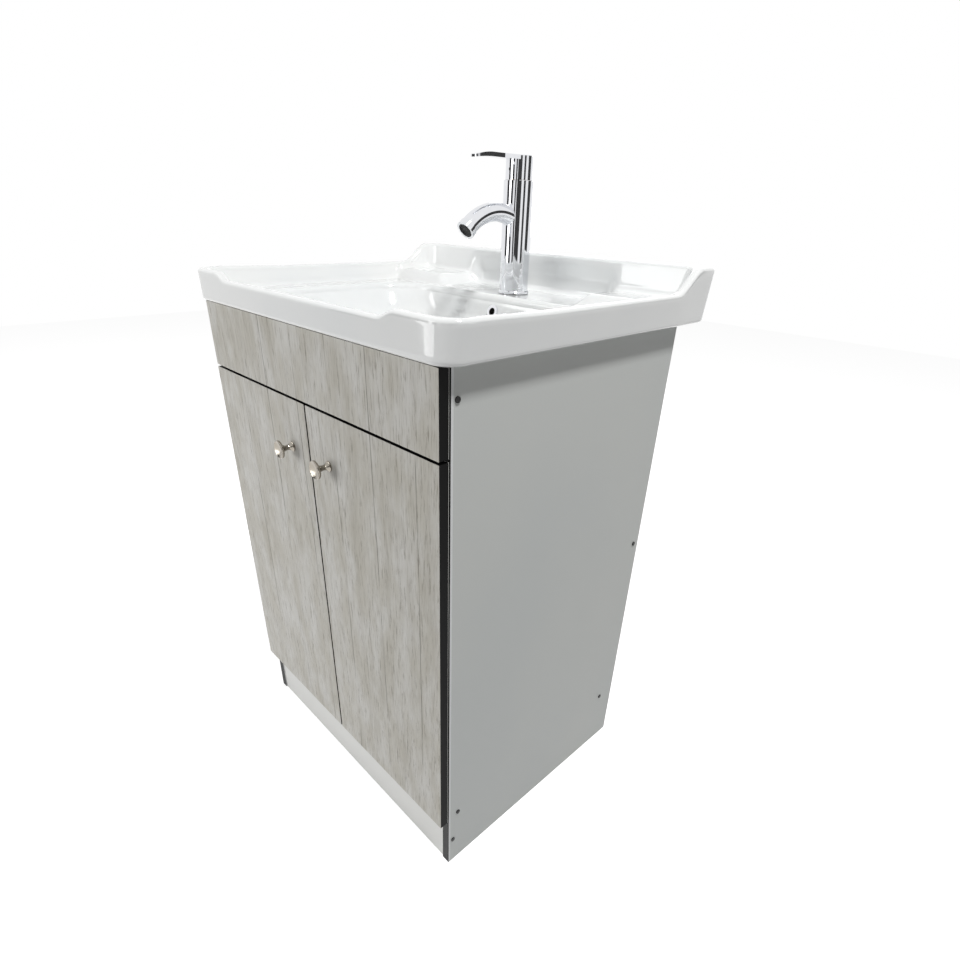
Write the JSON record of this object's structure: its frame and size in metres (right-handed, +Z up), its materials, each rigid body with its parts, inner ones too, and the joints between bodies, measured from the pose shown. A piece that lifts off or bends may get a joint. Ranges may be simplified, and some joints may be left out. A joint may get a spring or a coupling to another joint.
{
  "type": "bathroom vanity unit",
  "caption": "Freestanding bathroom vanity: melamine cabinet with hinged doors, rectangular ceramic basin with backsplash, lever tap, waste and trap.",
  "frame": {"origin": "middle of the width and of the whole depth, on the floor", "axes": "+X to the cabinet's right seen from the front, +Y to the wall, +Z up"},
  "size_m": [0.646, 0.549, 1.0819],
  "materials": {
    "door_laminate": "matt printed wood-grain laminate, bleached beige with grey streaks",
    "side_melamine": "matt pale grey-white melamine on chipboard",
    "inner_melamine": "matt white melamine on chipboard",
    "glazed_ceramic": "opaque glossy white vitreous china",
    "polished_chrome": "mirror-polished chrome plating",
    "satin_nickel": "satin nickel plating on cast zinc",
    "plated_steel": "bright zinc-plated steel",
    "dark_screw": "dark phosphated steel",
    "soft_rubber": "matt black rubber",
    "clear_bumper": "clear soft polyurethane",
    "white_plastic": "white moulded polypropylene",
    "dark_plastic": "dark moulded insert",
    "plain_brass": "plain machined brass"
  },
  "bodies": {
    "cabinet": {"false_front": "door_laminate", "left_side_panel": "side_melamine", "right_side_panel": "side_melamine", "toe_kick": "side_melamine", "bottom_panel": "inner_melamine", "front_rail": "inner_melamine", "rear_rail": "inner_melamine", "basin": "glazed_ceramic", "tap_body": "polished_chrome", "tap_base_ring": "polished_chrome", "aerator_ring": "polished_chrome", "overflow_ring": "polished_chrome", "waste_body": "polished_chrome", "left_hinge_arms": "plated_steel", "right_hinge_arms": "plated_steel", "left_hinge_plates": "plated_steel", "right_hinge_plates": "plated_steel", "left_plate_screws": "plated_steel", "right_plate_screws": "plated_steel", "false_front_brackets": "plated_steel", "bracket_screws": "plated_steel", "tap_steel_washer": "plated_steel", "cabinet_screws": "dark_screw", "tap_gasket": "soft_rubber", "tap_rubber_washer": "soft_rubber", "waste_gasket": "soft_rubber", "waste_lower_ring": "soft_rubber", "trap_washers": "soft_rubber", "door_bumpers": "clear_bumper", "tailpiece": "white_plastic", "trap_bend": "white_plastic", "trap_arm": "white_plastic", "trap_nuts": "white_plastic", "waste_nut": "white_plastic", "cartridge": "white_plastic", "aerator_insert": "dark_plastic", "tap_fixing_nut": "plain_brass", "cartridge_nut": "plain_brass"},
    "left_door": {"left_door": "door_laminate", "left_hinge_cups": "plated_steel", "left_cup_screws": "plated_steel", "left_knob": "satin_nickel", "left_knob_screw": "plated_steel"},
    "right_door": {"right_door": "door_laminate", "right_hinge_cups": "plated_steel", "right_cup_screws": "plated_steel", "right_knob": "satin_nickel", "right_knob_screw": "plated_steel"},
    "drain_plug": {"drain_plug": "polished_chrome"},
    "mixer_swivel": {"cartridge_carrier": "white_plastic"},
    "mixer_lever": {"lever_handle": "polished_chrome", "cartridge_stem": "plain_brass", "lever_set_screw": "plated_steel"}
  },
  "joints": [
    {"name": "left_door_hinge", "type": "hinge", "parent": "cabinet", "child": "left_door", "pos_m": [-0.294, -0.2495, 0.43], "axis": [0, 0, -1], "range_deg": [0, 95]},
    {"name": "right_door_hinge", "type": "hinge", "parent": "cabinet", "child": "right_door", "pos_m": [0.294, -0.2495, 0.43], "axis": [0, 0, 1], "range_deg": [0, 95]},
    {"name": "drain_plug_slide", "type": "slide", "parent": "cabinet", "child": "drain_plug", "axis": [0, 0, 1], "range_m": [0, 0.008]},
    {"name": "mixer_temperature", "type": "hinge", "parent": "cabinet", "child": "mixer_swivel", "pos_m": [0, 0.1765, 1.0475], "axis": [0, 0, 1], "range_deg": [-45, 45]},
    {"name": "mixer_flow", "type": "hinge", "parent": "mixer_swivel", "child": "mixer_lever", "pos_m": [0, 0.1765, 1.0475], "axis": [-1, 0, 0], "range_deg": [0, 15]}
  ]
}
